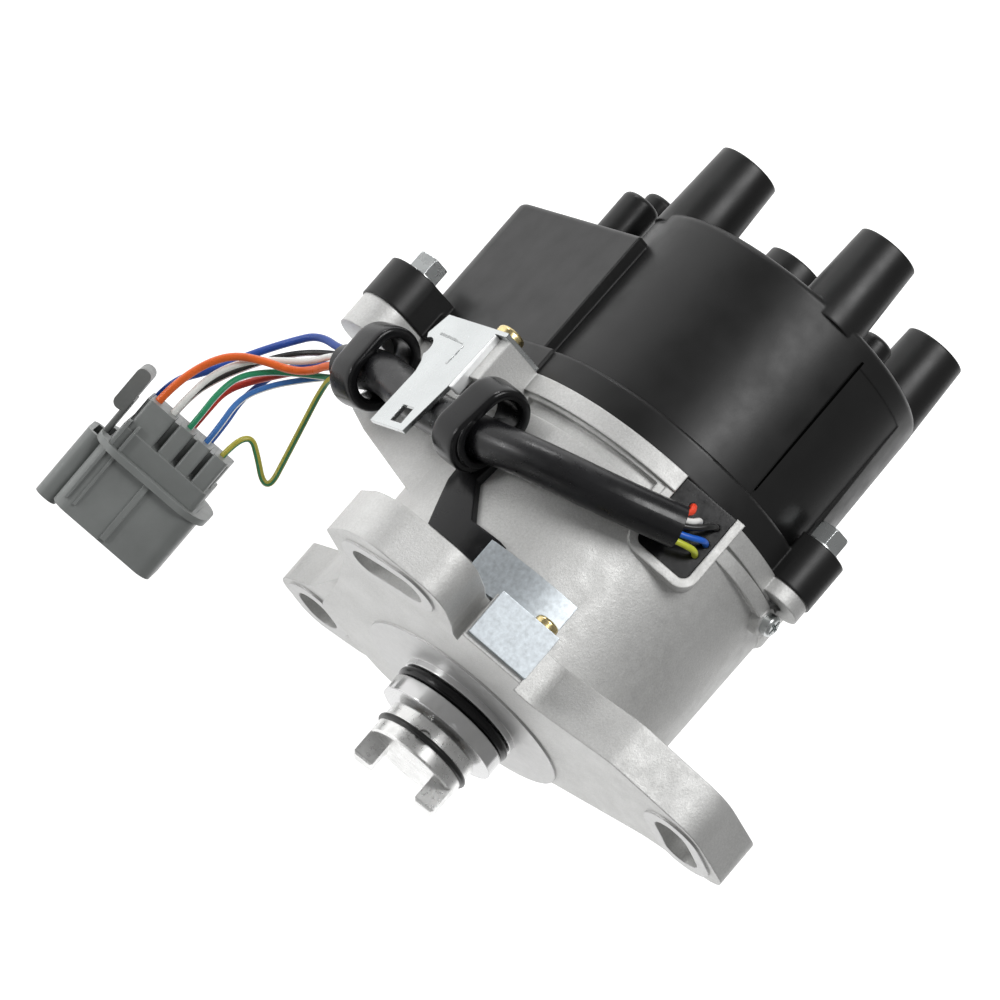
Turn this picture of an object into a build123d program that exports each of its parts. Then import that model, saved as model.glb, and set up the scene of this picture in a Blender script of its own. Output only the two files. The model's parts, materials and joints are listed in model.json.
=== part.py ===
from build123d import *
from math import cos, sin, radians, degrees, tan, hypot, atan2, pi
import os

os.makedirs("parts", exist_ok=True)

# Frame, millimetres: X runs along the shaft from the engine to the cap, the origin is the centre
# of the mounting face, and the coil compartment hangs towards -Z. Angles are about X, from +Y to +Z.

# Flange and pilot
flange_thickness = 12.8
ear_slot_width = 10.0
ear_pad_margin = 3.4
cast_step = 0.6
low_ear_place = 4.0
low_ear_end = 16.0
ears = {"top": (69.0, 118.5, 7.5, 0.0), "side": (60.5, 26.0, 11.0, 0.0), "low": (60.5, -78.4, 3.0, low_ear_place)}
boss_radius = 28.5
pilot_diameter = 32.4
pilot_length = 9.6
o_ring_section = 3.1
o_ring_stretch_proud = 0.2
o_ring_place = -3.5

# Housing
body_radius = 43.7
body_draft = 0.8
rim_place = 67.0
rim_band = 5.0
rim_proud = 1.0
wall = 3.4
cavity_floor = 26.0
compartment_inset = 0.9
compartment_half_width = body_radius - compartment_inset
compartment_drop = 65.5
compartment_corner = 8.0
floor_high = (27.4, -10.0)
floor_low = (39.5, -47.0)
floor_end = 47.0
igniter_floor = 50.6
groove_width = 1.4
groove_depth = 1.5
groove_inset = 2.2

# Cap
cap_inset = 2.7
cap_radius = body_radius - cap_inset
cap_draft_loss = 0.8
cap_wall = 3.2
cap_end = 123.0
cap_end_wall = 4.0
cover_overhang = 0.7
cover_half_width = compartment_half_width + cover_overhang
cover_drop = compartment_drop + 0.5
cover_end = 112.0
skirt_height = 8.0
skirt_proud = 3.3
washer_gap = 0.4
ear_turn = {"upper": 121.0, "front": 0.0, "back": 180.0}
ear_depth = {"upper": 4.2, "front": 9.0, "back": 9.0}
bolt_ear_radius = {"upper": 7.5, "front": 8.3, "back": 8.3}
bolt_ear_height = {"upper": 13.0, "front": 11.0, "back": 11.0}
upper_bolt_gap = 2.2
side_bolt_gap = 8.7
side_bolt_rise = 6.0
tower_circle = cap_radius - 9.0
tower_first_angle = 71.0
tower_end = 144.5
tower_tip_radius = 8.2
tower_base_radius = 9.2
socket_radius = 5.2
socket_depth = 18.0
tower_count = 4

# Shaft line
shaft_diameter = 12.0
running_clearance = 0.05
bush_wall = 2.0
bush_length = 15.0
seal_diameter = 22.0
seal_width = 5.0
seal_place = 13.0
bearing_bore = 12.0
bearing_outside = 28.0
bearing_width = 8.0
bearing_place = 19.0
ball_diameter = 4.76
ball_count = 8
ball_clearance = 0.15
bearing_hub_wall = 5.5
retainer_thickness = 1.4
coupling_diameter = 24.8
coupling_length = 9.3
coupling_gap = 0.8
coupling_bore_clearance = 0.3
pin_diameter = 3.6
pin_angle = 50.0
pin_end_gap = 0.3
dog_length = 6.5
dog_width = 5.6
dog_depth = 6.0
dog_radius = 9.3
dog_offset = 0.8
ring_wire = 1.6
ring_proud = 0.75

# The window, the lower bracket and the connector face this way about X
face_angle = 59.3
grommet_inner = body_radius - 6.2
grommet_outer = body_radius - 0.1

# Sensors
wheel_radius = 22.0
wheel_width = 4.0
wheel_pitch = 8.0
wheel_start = 34.0
wheel_hub_radius = 9.0
crank_tooth_count = 24
dead_centre_tooth_count = 4
cylinder_tooth_count = 1
crank_teeth = (19.4, 2.9)
few_teeth = (15.5, 4.0)
pickup_gap = 0.6
pickup_angles = {"crank_pickup": 0.0, "dead_centre_pickup": 90.0, "cylinder_pickup": 180.0}
pickup_width = 13.0
pickup_height = 9.0
plate_place = 30.0
plate_thickness = 2.0
plate_outer_radius = body_radius - 5.7
plate_inner_radius = 21.5
plate_screw_circle = plate_outer_radius - 5.0
pickup_depth = plate_outer_radius - 1.8 - (wheel_radius + pickup_gap + 1.6)
plate_screw_angles = (45.0, 135.0, 225.0)

# Coil, igniter and inner cover
coil_size = (30.5, 50.0, 26.0)
coil_floor_gap = 2.6
coil_place = (60.0, 0.0, -(compartment_drop - wall - coil_floor_gap - coil_size[2] / 2))
core_thickness = 12.0
core_reach = 4.0
igniter_size = (7.0, 40.0, 20.0)
igniter_floor_gap = 1.1
igniter_centre_drop = -(compartment_drop - wall - igniter_floor_gap - igniter_size[2] / 2)
cover_place = 64.4
cover_thickness = 1.8
cover_rim = 3.0
cover_bore = 9.0
cover_flat = coil_place[2] + coil_size[2] / 2 + 3.5

# Rotor and brush
rotor_start = 71.0
rotor_hub_radius = 11.0
rotor_arm_place = 92.0
rotor_top = 96.0
rotor_arm_width = 13.0
rotor_gap = 0.7
rotor_angle = 71.0
terminal_radius = 3.0
terminal_low = 91.0
contact_thickness = 1.2
brush_diameter = 5.0
brush_length = 10.0
brush_travel = 3.0
brush_gap = 0.3
brush_boss_radius = 6.5
spring_wire = 0.6
spring_turns = 7

# Fasteners
bolt_diameter = 5.0
bolt_head_across = 8.0
bolt_head_height = 5.0
washer_radius = 5.2
washer_thickness = 1.0
small_screw = 4.0
small_head_radius = 3.6
small_head_height = 2.4

# Harness
sleeve_diameter = 10.5
sleeve_wall = 0.8
clip_thickness = 2.0
clip_width = 9.0
clip_half_gap = 4.9
clip_stud_radius = 2.5
bracket_thickness = 1.2
strap_thickness = 1.8
lead_diameter = 1.6


def at_angle(radius, angle):
    """The Y and Z of a point on a circle about the shaft."""
    return radius * cos(radians(angle)), radius * sin(radians(angle))


cap_bolts_at = {
    "upper": at_angle(body_radius + upper_bolt_gap, ear_turn["upper"]),
    "front": (compartment_half_width + side_bolt_gap, side_bolt_rise - compartment_drop),
    "back": (-compartment_half_width - side_bolt_gap, side_bolt_rise - compartment_drop),
}


def rod(start, end, radius, y=0.0, z=0.0):
    """A cylinder along X."""
    return Pos((start + end) / 2, y, z) * Rot(0, 90, 0) * Cylinder(radius, abs(end - start))


def cone(start, end, start_radius, end_radius, y=0.0, z=0.0):
    """A cone along X."""
    return Pos((start + end) / 2, y, z) * Rot(0, 90, 0) * Cone(start_radius, end_radius, end - start)


def ring(start, end, outer, inner, y=0.0, z=0.0):
    """A tube along X."""
    overrun = 1.0
    return rod(start, end, outer, y, z) - rod(start - overrun, end + overrun, inner, y, z)


def block(x_range, y_range, z_range):
    """A box between two limits on each axis."""
    size = [high - low for low, high in (x_range, y_range, z_range)]
    centre = [(high + low) / 2 for low, high in (x_range, y_range, z_range)]
    return Pos(*centre) * Box(*size)


def slab(sketch, start, end):
    """A sketch of the YZ plane, extruded from one X to another."""
    plane = Plane(origin=(start, 0, 0), x_dir=(0, 1, 0), z_dir=(1, 0, 0))
    return extrude(plane * sketch, end - start)


def profile(points, width, y=0.0):
    """A polygon of the XZ plane, extruded both ways along Y."""
    plane = Plane(origin=(0, y, 0), x_dir=(1, 0, 0), z_dir=(0, -1, 0))
    return extrude(plane * make_face(Polyline(*points, close=True)), width / 2, both=True)


def turned(points):
    """A solid of revolution about X, from the points of its half section (x, radius)."""
    face = make_face(Polyline(*[(x, r, 0) for x, r in points], close=True))
    return revolve(face, Axis.X)


def turn(shape, angle):
    """The shape turned about the shaft."""
    return Rot(angle, 0, 0) * shape


def outline(radius, half_width, drop, corner):
    """The sketch that the housing, gasket and cap share: a circle with a square compartment below."""
    lower = Pos(0, -drop / 2) * Rectangle(2 * half_width, drop)
    corners = lower.vertices().sort_by(Axis.Y)[:2]
    return Circle(radius) + fillet(corners, corner)


def save(shape, name):
    """Write one node."""
    shape.label = name
    export_step(shape, f"parts/{name}.step")
    return shape


def ear_slot(name):
    """The slot of one ear, a little arc about the shaft."""
    radius, angle, swing, place = ears[name]
    middle = CenterArc((0, 0), radius, angle - swing / 2, swing)
    return SlotArc(middle, ear_slot_width)


def bearing_groove(radius):
    """The torus that the balls run in."""
    return Rot(0, 90, 0) * Torus(ball_pitch_radius, radius)


ball_pitch_radius = (bearing_bore + bearing_outside) / 4
bearing_middle = bearing_place + bearing_width / 2
compartment_inner = compartment_half_width - wall
cavity_radius = body_radius - wall + 0.2
pilot_end = -pilot_length
coupling_top = pilot_end - coupling_gap
coupling_foot = coupling_top - coupling_length
pin_place = (coupling_top + coupling_foot) / 2
shaft_radius = shaft_diameter / 2


# Housing
def housing_shell():
    body = cone(flange_thickness - 2, rim_place, body_radius, body_radius + body_draft)
    floor = [(rim_place, 0), (rim_place, -compartment_drop), (floor_end, -compartment_drop)]
    floor += [floor_low, floor_high, (floor_high[0], 0)]
    compartment = profile(floor, 2 * compartment_half_width)
    sharp = compartment.edges().filter_by(Axis.X).group_by(Axis.Z)[0]
    compartment = fillet(sharp, compartment_corner)
    band_outline = outline(
        body_radius + body_draft + rim_proud,
        compartment_half_width + rim_proud,
        compartment_drop + rim_proud,
        compartment_corner + rim_proud,
    )
    band = slab(band_outline, rim_place - rim_band, rim_place)
    return body + compartment + band


def housing_cavity():
    round_part = rod(cavity_floor, rim_place + 1, cavity_radius)
    low = -compartment_drop + wall
    back = floor_low[0] + wall
    path = [(rim_place + 1, 0), (rim_place + 1, low), (igniter_floor, low), (igniter_floor, floor_low[1] + wall)]
    path += [(back, floor_low[1] + 2 * wall), (floor_high[0] + wall, floor_high[1]), (floor_high[0] + wall, 0)]
    lower = profile(path, 2 * compartment_inner)
    sharp = lower.edges().filter_by(Axis.X).group_by(Axis.Z)[0]
    return round_part + fillet(sharp, compartment_corner - wall)


# Outline of the flange: Y, Z and corner radius, the two upper ears first and then the low ear
flange_corners = (
    (12, 43.5, 6), (-3, 63, 10), (-27, 74, 13), (-51, 64, 6), (-36.5, 43, 25), (-19, -14, 20), (-6, -40, 10),
    (24, -40, 8), (39, -15, 14), (53.5, 5, 6), (66.5, 11.5, 4), (71, 30, 13), (50, 45.5, 9), (39, 38, 6), (34, 33, 3))
low_ear_corners = (
    (-14, -26, 2), (-7, -47, 10), (-3.5, -58, 8), (3.5, -68.5, 9), (22.5, -69.5, 7), (23.5, -50, 10), (34, -24, 2))
lug_across = (-11.0, 6.5)
lug_reach = body_radius + 9.5
lug_end = 13.6


def cornered(corners):
    """A closed outline whose corners have their own radii."""
    points = [(y, z) for y, z, radius in corners]
    radii = [radius for y, z, radius in corners]
    return make_face(FilletPolyline(*points, radius=radii, close=True))


def ear_pad(name):
    """The machined ring round the slot of one ear."""
    radius, angle, swing, place = ears[name]
    middle = CenterArc((0, 0), radius, angle - swing / 2, swing)
    return SlotArc(middle, ear_slot_width + 2 * ear_pad_margin)


def flange():
    outline_faces = cornered(flange_corners)
    low_faces = cornered(low_ear_corners)
    plate = slab(outline_faces, cast_step, flange_thickness)
    low = slab(low_faces, low_ear_place + cast_step, low_ear_end)
    for name in ("top", "side"):
        plate += slab(ear_pad(name) & outline_faces, 0, flange_thickness)
    low += slab(ear_pad("low") & low_faces, low_ear_place, low_ear_end)
    return plate + low + rod(0, flange_thickness, boss_radius)


window_across = (5.0, 20.5)
window_low = 47.0
window_frame = 2.3
window_corner = 2.2
window_reach = body_radius + 0.9


def faced_block(x_range, out_range, across_range):
    """A block on the side of the housing that the window opens to."""
    return turn(block(x_range, out_range, across_range), face_angle)


def window_block(x_range, out_range, across_range, corner):
    """A faced block whose two corners towards the flange are rounded."""
    shape = block(x_range, out_range, across_range)
    return turn(fillet(shape.edges().filter_by(Axis.Y).group_by(Axis.X)[0], corner), face_angle)


def faced(x, out, across):
    """The point at a distance out towards the window's side and across it."""
    a = radians(face_angle)
    return x, out * cos(a) - across * sin(a), out * sin(a) + across * cos(a)


upper_screw = (compartment_half_width + 11.2, -3.4)
upper_boss = (compartment_half_width + 13.8, 6.0)
stud_place = 58.7
stud_angle = 123.4
stud_rise = 3.2
rib_places = (57.6, 61.4)
rib_radius = 35.7
rib_shift = 11.0
pocket_places = (57.5, 61.0)


def housing_lugs():
    lugs = Part()
    for name, (y, z) in cap_bolts_at.items():
        low = rim_place - ear_depth[name]
        radius = bolt_ear_radius[name] - 0.5
        web = block((low, rim_place), (-12, 0), (-radius, radius))
        lugs += rod(low, rim_place, radius, y, z) + Pos(0, y, z) * Rot(ear_turn[name], 0, 0) * web
    y, z = upper_screw
    reach, half = upper_boss
    lugs += block((rim_place - 12, rim_place), (compartment_half_width - 2, reach), (z - half, z + half))
    across = (window_across[0] - window_frame, window_across[1] + window_frame)
    frame_low = window_low - window_frame
    lugs += window_block((frame_low, rim_place), (body_radius - 9, window_reach), across, window_corner + window_frame)
    lugs += faced_block((cast_step, lug_end), (body_radius - 4, lug_reach), lug_across)
    lugs += rod(*rib_places, rib_radius, *at_angle(rib_shift, ear_turn["upper"]))
    lugs += turn(Pos(stud_place, body_radius + stud_rise - 2.5, 0) * Rot(90, 0, 0) * Cylinder(4.0, 5), stud_angle)
    return lugs


def build_housing():
    shape = housing_shell() + flange() + housing_lugs()
    shape += rod(pilot_end, 0, pilot_diameter / 2)
    shape -= housing_cavity()
    hub_radius = bearing_outside / 2 + bearing_hub_wall
    bearing_end = bearing_place + bearing_width
    shape += rod(cavity_floor - 1, bearing_end + retainer_thickness, hub_radius)
    for angle in plate_screw_angles:
        y, z = at_angle(plate_screw_circle, angle)
        shape += rod(cavity_floor - 1, plate_place, 4.0, y, z)
    for y in coil_screw_sides:
        shape += rod(igniter_floor - 4, coil_place[0], 4.5, y, coil_place[2])
    bush_radius = shaft_radius + running_clearance + bush_wall
    shape -= rod(pilot_end - 1, pilot_end + bush_length, bush_radius)
    shape -= rod(pilot_end, bearing_place, shaft_radius + 1.2)
    shape -= rod(seal_place, bearing_place + 1, seal_diameter / 2)
    shape -= rod(bearing_place, rim_place, bearing_outside / 2)
    groove_bottom = pilot_diameter / 2 + o_ring_stretch_proud - o_ring_section
    half = o_ring_section / 2 + 0.2
    shape -= ring(o_ring_place - half, o_ring_place + half, pilot_diameter / 2 + 1, groove_bottom)
    for name in ears:
        shape -= slab(ear_slot(name), -1, low_ear_end + 1)
    shape -= window_block((window_low, rim_place + 1), (grommet_inner, window_reach + 9), window_across, window_corner)
    shape -= slab(gasket_outline(), rim_place - groove_depth, rim_place + 1)
    for name, (y, z) in cap_bolts_at.items():
        shape -= rod(rim_place - ear_depth[name] - 1, rim_place + 1, bolt_diameter / 2 - 0.2, y, z)
    shape -= rod(rim_place - 10, rim_place + 1, small_screw / 2, *upper_screw)
    for angle in plate_screw_angles:
        shape -= rod(cavity_floor - 1, plate_place + 1, small_screw / 2, *at_angle(plate_screw_circle, angle))
    for y in coil_screw_sides:
        shape -= rod(igniter_floor, coil_place[0] + 1, small_screw / 2, y, coil_place[2])
    for side in (-1, 1):
        shape -= rod(igniter_floor - 5, igniter_floor + 1, small_screw / 2, side * igniter_screw_side, igniter_centre_drop)
    shape -= rod(lug_end - 9, lug_end + 1, small_screw / 2, *lower_screw)
    stud_hole = Pos(stud_place, body_radius + stud_rise - 3, 0) * Rot(90, 0, 0) * Cylinder(small_screw / 2, 8)
    shape -= turn(stud_hole, stud_angle)
    shape -= pocket_under_rim()
    x, y, z = clip_rear_place
    shape -= Pos(x, compartment_half_width - 1.2, z) * Rot(90, 0, 0) * Cylinder(clip_stud_radius, 2.4)
    return shape


def gasket_outline():
    outer = outline(
        body_radius + body_draft - groove_inset + 1,
        compartment_half_width - groove_inset + 1,
        compartment_drop - groove_inset + 1,
        compartment_corner,
    )
    inner = outline(
        body_radius + body_draft - groove_inset + 1 - groove_width,
        compartment_half_width - groove_inset + 1 - groove_width,
        compartment_drop - groove_inset + 1 - groove_width,
        compartment_corner - groove_width,
    )
    return outer - inner


def pocket_under_rim():
    """The long shallow pocket in the wall just below the rim."""
    start_angle = 6.0
    end_angle = 60.0
    low, high = pocket_places
    cut = ring(low, high, body_radius + 3, body_radius - 0.8)
    keep = slab(sector(body_radius + 5, start_angle, end_angle), low - 1, high + 1)
    return cut & keep


def sector(radius, start_angle, end_angle):
    """A pie slice of the YZ plane."""
    arc = CenterArc((0, 0), radius, start_angle, end_angle - start_angle)
    return make_face([arc, Line((0, 0), arc @ 0), Line(arc @ 1, (0, 0))])


igniter_screw_side = igniter_size[1] / 2 - 3.5
coil_screw_sides = (-coil_size[1] / 2 - 6.0, coil_size[1] / 2 + 6.0)
clip_rear_place = (51.2, compartment_half_width + 9.3, -(compartment_drop - 19.0))
clip_front_place = (44.6, *at_angle(body_radius + 8.7, 9.9))
lower_screw = faced(0, body_radius + 6.7, 2.5)[1:]

housing = save(build_housing(), "housing")
gasket = save(slab(gasket_outline(), rim_place - groove_depth, rim_place), "cap_gasket")
o_ring_radius = pilot_diameter / 2 + o_ring_stretch_proud - o_ring_section / 2
o_ring = save(Pos(o_ring_place, 0, 0) * Rot(0, 90, 0) * Torus(o_ring_radius, o_ring_section / 2), "pilot_o_ring")

bush_outer = shaft_radius + running_clearance + bush_wall
save(ring(pilot_end, pilot_end + bush_length, bush_outer, shaft_radius + running_clearance), "shaft_bush")
save(ring(seal_place, seal_place + seal_width, seal_diameter / 2, shaft_radius + running_clearance), "oil_seal")


# Ball bearing
def build_bearing():
    groove = Pos(bearing_middle, 0, 0) * bearing_groove(ball_diameter / 2 + ball_clearance)
    end = bearing_place + bearing_width
    land = ball_diameter * 0.38
    inner = ring(bearing_place, end, ball_pitch_radius - land, shaft_radius) - groove
    outer = ring(bearing_place, end, bearing_outside / 2, ball_pitch_radius + land) - groove
    cage = ring(bearing_middle - 2.6, bearing_middle + 2.6, ball_pitch_radius + 0.7, ball_pitch_radius - 0.7)
    balls = []
    for index in range(ball_count):
        y, z = at_angle(ball_pitch_radius, index * 360 / ball_count)
        cage -= Pos(bearing_middle, y, z) * Sphere(ball_diameter / 2)
        balls.append(Pos(bearing_middle, y, z) * Sphere(ball_diameter / 2))
    save(inner, "bearing_inner_race")
    save(outer, "bearing_outer_race")
    save(cage, "bearing_cage")
    save(Compound(children=balls), "bearing_balls")


build_bearing()
retainer = ring(
    bearing_place + bearing_width, bearing_place + bearing_width + retainer_thickness,
    bearing_outside / 2, bearing_outside / 2 - 2.6)
save(retainer, "bearing_snap_ring")


# Shaft and coupling
def build_shaft():
    bottom = coupling_foot + 2.6
    shape = rod(bottom, rotor_start + 12, shaft_radius)
    shape += rod(bearing_place + bearing_width, wheel_start, shaft_radius + 1.8)
    hole = Pos(pin_place, 0, 0) * Rot(pin_angle, 0, 0) * Rot(90, 0, 0) * Cylinder(pin_diameter / 2, 40)
    shape -= hole
    flat = block((rotor_start, rotor_start + 13), (shaft_radius - 1.2, shaft_radius + 2), (-8, 8))
    shape -= turn(flat, rotor_angle + 90)
    return shape


def build_coupling():
    shape = rod(coupling_foot, coupling_top, coupling_diameter / 2)
    shape = chamfer(shape.edges().filter_by(GeomType.CIRCLE), 0.5)
    shape -= rod(coupling_foot + 2, coupling_top + 1, shaft_radius + coupling_bore_clearance)
    for side in (-1, 1):
        middle = side * dog_radius
        shift = side * dog_offset
        dog = block(
            (coupling_foot - dog_length, coupling_foot + 1),
            (shift - dog_depth / 2, shift + dog_depth / 2),
            (middle - dog_width / 2, middle + dog_width / 2))
        tip = dog.edges().group_by(Axis.X)[0]
        shape += turn(chamfer(tip, 0.6), pin_angle)
    hole = Cylinder(pin_diameter / 2 + running_clearance, 40)
    shape -= Pos(pin_place, 0, 0) * Rot(pin_angle, 0, 0) * Rot(90, 0, 0) * hole
    groove_radius = coupling_diameter / 2 + ring_proud - ring_wire / 2
    shape -= Pos(pin_place, 0, 0) * Rot(0, 90, 0) * Torus(groove_radius, ring_wire / 2)
    return shape


save(build_shaft(), "shaft")
save(build_coupling(), "drive_coupling")
ring_radius = coupling_diameter / 2 + ring_proud - ring_wire / 2
pin_length = 2 * (ring_radius - ring_wire / 2 - pin_end_gap)
pin = Pos(pin_place, 0, 0) * Rot(pin_angle, 0, 0) * Rot(90, 0, 0) * Cylinder(pin_diameter / 2, pin_length)
save(pin, "coupling_pin")
save(Pos(pin_place, 0, 0) * Rot(0, 90, 0) * Torus(ring_radius, ring_wire / 2), "coupling_ring_spring")


# Trigger wheels and pickups
def build_wheel(index, teeth, root_radius, tooth_width):
    start = wheel_start + index * wheel_pitch
    shape = rod(start, start + wheel_pitch, wheel_hub_radius)
    middle = start + wheel_pitch / 2
    low, high = middle - wheel_width / 2, middle + wheel_width / 2
    shape += rod(low, high, root_radius)
    for tooth in range(teeth):
        bar = block((low, high), (root_radius - 2, wheel_radius), (-tooth_width / 2, tooth_width / 2))
        shape += turn(bar, tooth * 360 / teeth)
    return shape - rod(start - 1, start + wheel_pitch + 1, shaft_radius)


def build_pickup(index, angle):
    middle = wheel_start + (index + 0.5) * wheel_pitch
    inner = wheel_radius + pickup_gap
    outer = inner + 1.6 + pickup_depth
    low, high = middle - pickup_height / 2, middle + pickup_height / 2
    side = pickup_width / 2
    shape = block((low, high), (inner + 1.6, outer), (-side, side))
    shape = fillet(shape.edges().filter_by(Axis.X), 1.5)
    shape += block((middle - 1.5, middle + 1.5), (inner, inner + 3), (-2, 2))
    foot = plate_place + plate_thickness
    shape += block((foot, high), (outer - 3, outer), (-side, side))
    shape += block((foot, foot + 2), (outer - 8, outer), (-side, side))
    return turn(shape, angle)


save(build_wheel(0, crank_tooth_count, *crank_teeth), "crank_wheel")
save(build_wheel(1, dead_centre_tooth_count, *few_teeth), "dead_centre_wheel")
save(build_wheel(2, cylinder_tooth_count, *few_teeth), "cylinder_wheel")
for index, (name, angle) in enumerate(pickup_angles.items()):
    save(build_pickup(index, angle), name)

plate = ring(plate_place, plate_place + plate_thickness, plate_outer_radius, plate_inner_radius)
for angle in plate_screw_angles:
    plate -= rod(plate_place - 1, plate_place + 3, small_screw / 2 + 0.2, *at_angle(plate_screw_circle, angle))
save(plate, "pickup_plate")


def screw(start, y, z, length, head_radius=small_head_radius, head_height=small_head_height):
    """A round-head screw along -X from its seat."""
    shape = rod(start, start + head_height, head_radius, y, z)
    shape = fillet(shape.edges().group_by(Axis.X)[-1], head_height * 0.4)
    shape += rod(start - length, start, small_screw / 2, y, z)
    for size in ((1.0, 4.0), (4.0, 1.0)):
        cross = block(
            (start + head_height - 1.2, start + head_height + 1),
            (y - size[0] / 2, y + size[0] / 2), (z - size[1] / 2, z + size[1] / 2))
        shape -= cross
    return shape


plate_top = plate_place + plate_thickness
plate_screws = [screw(plate_top, *at_angle(plate_screw_circle, angle), 5.5) for angle in plate_screw_angles]
save(Compound(children=plate_screws), "pickup_plate_screws")


# Ignition coil and igniter
def build_coil():
    length, width, height = coil_size
    x, y, z = coil_place
    side = abs(coil_screw_sides[0]) + 4.5
    body = block((x, x + length), (-width / 2, width / 2), (z - height / 2, z + height / 2))
    body = fillet(body.edges().filter_by(Axis.X), 3.0)
    body += block((x, x + 5), (-side, side), (z - 5, z + 5))
    tower_top = ht_strip_place
    body += rod(x + length, tower_top, 5.0, 0, z + 4)
    core_low, core_high = x + 12, x + 12 + core_thickness
    body -= block((core_low, core_high), (-width, width), (z - height / 2 - 1, z - height / 2 + core_reach))
    for y in coil_screw_sides:
        body -= rod(x - 1, x + 6, small_screw / 2 + 0.2, y, z)
    core = block((core_low, core_high), (-width / 2 - 3, width / 2 + 3), (z - height / 2, z - height / 2 + core_reach))
    for side in (-1, 1):
        near, far = sorted((side * width / 2, side * (width / 2 + 3)))
        core += block((core_low, core_high), (near, far), (z - height / 2, z + height / 2))
    return body, core


ht_strip_place = 106.0
ht_strip_thickness = 1.2
coil_body, coil_core = build_coil()
save(coil_body, "ignition_coil")
save(coil_core, "coil_core")
coil_screws = [screw(coil_place[0] + 5, y, coil_place[2], 9.0) for y in coil_screw_sides]

igniter = block(
    (igniter_floor, igniter_floor + igniter_size[0]),
    (-igniter_size[1] / 2, igniter_size[1] / 2),
    (igniter_centre_drop - igniter_size[2] / 2, igniter_centre_drop + igniter_size[2] / 2))
igniter = fillet(igniter.edges().filter_by(Axis.X), 2.0)
for side in (-1, 1):
    place = (side * igniter_screw_side, igniter_centre_drop)
    igniter_top = igniter_floor + igniter_size[0]
    head = rod(igniter_floor + 3, igniter_top + 1, small_head_radius + 0.4, *place)
    hole = rod(igniter_floor - 1, igniter_top + 1, small_screw / 2 + 0.2, *place)
    igniter -= head + hole
save(igniter, "igniter_module")
igniter_screws = [
    screw(igniter_floor + 3, side * igniter_screw_side, igniter_centre_drop, 6.5) for side in (-1, 1)]
save(Compound(children=coil_screws + igniter_screws), "compartment_screws")


# Inner cover
def build_inner_cover():
    shape = rod(cover_place, cover_place + cover_thickness, cavity_radius)
    shape += ring(cover_place - cover_rim, cover_place, cavity_radius, cavity_radius - 1.6)
    low, high = cover_place - cover_rim - 1, cover_place + cover_thickness + 1
    shape -= block((low, high), (-body_radius, body_radius), (-body_radius, cover_flat))
    return shape - rod(low, high, cover_bore)


cap_inner_radius = cap_radius - cap_wall
save(build_inner_cover(), "inner_cover")


# Rotor
def build_rotor():
    shape = rod(rotor_start, rotor_top, rotor_hub_radius)
    arm_end = tower_circle - terminal_radius - rotor_gap
    arm = block((rotor_arm_place - 3, rotor_top), (0, arm_end - 4), (-rotor_arm_width / 2, rotor_arm_width / 2))
    tail = block((rotor_arm_place, rotor_top), (-16, 0), (-7, 7))
    tail = fillet(tail.edges().filter_by(Axis.X).group_by(Axis.Y)[0], 5.0)
    shape += turn(arm + tail, rotor_angle)
    shape -= shaft_end_negative()
    strip = block(
        (rotor_top - contact_thickness, rotor_top + 1), (-4, arm_end + 1), (-3, 3))
    shape -= turn(strip, rotor_angle)
    screw_y, screw_z = at_angle(rotor_hub_radius, rotor_angle + 90)
    side_hole = Pos(rotor_start + 6, 0, 0) * Rot(rotor_angle, 0, 0) * Pos(0, 0, 9) * Cylinder(1.5, 12)
    return shape - side_hole


def shaft_end_negative():
    hole = rod(rotor_start - 1, rotor_start + 12, shaft_radius)
    flat = block((rotor_start - 2, rotor_start + 13), (shaft_radius - 1.2, shaft_radius + 2), (-8, 8))
    return hole - turn(flat, rotor_angle + 90)


def build_rotor_contact():
    arm_end = tower_circle - terminal_radius - rotor_gap
    strip = block((rotor_top - contact_thickness, rotor_top), (-4, arm_end), (-3, 3))
    tip = block((rotor_top - 5, rotor_top), (arm_end - 2, arm_end), (-3, 3))
    keep = rod(rotor_top - 6, rotor_top + 1, arm_end)
    return turn((strip + tip) & keep, rotor_angle)


save(build_rotor(), "rotor")
save(build_rotor_contact(), "rotor_contact")
rotor_screw = Cylinder(1.5, 6.2) + Pos(0, 0, 4.1) * Cylinder(2.6, 2.0)
rotor_screw_seat = shaft_radius - 1.2 + 3.1
rotor_screw = Pos(rotor_start + 6, 0, 0) * Rot(rotor_angle, 0, 0) * Pos(0, 0, rotor_screw_seat) * rotor_screw
save(rotor_screw, "rotor_screw")


# Cap
def tower_places():
    step = 360 / tower_count
    return [at_angle(tower_circle, tower_first_angle + index * step) for index in range(tower_count)]


post_front = (128.0, 5.2, 30.0, -38.5)
post_back = (134.0, 4.6, 22.0, -44.5)
post_vent = (132.0, 4.4, -10.5, 20.0)


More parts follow.
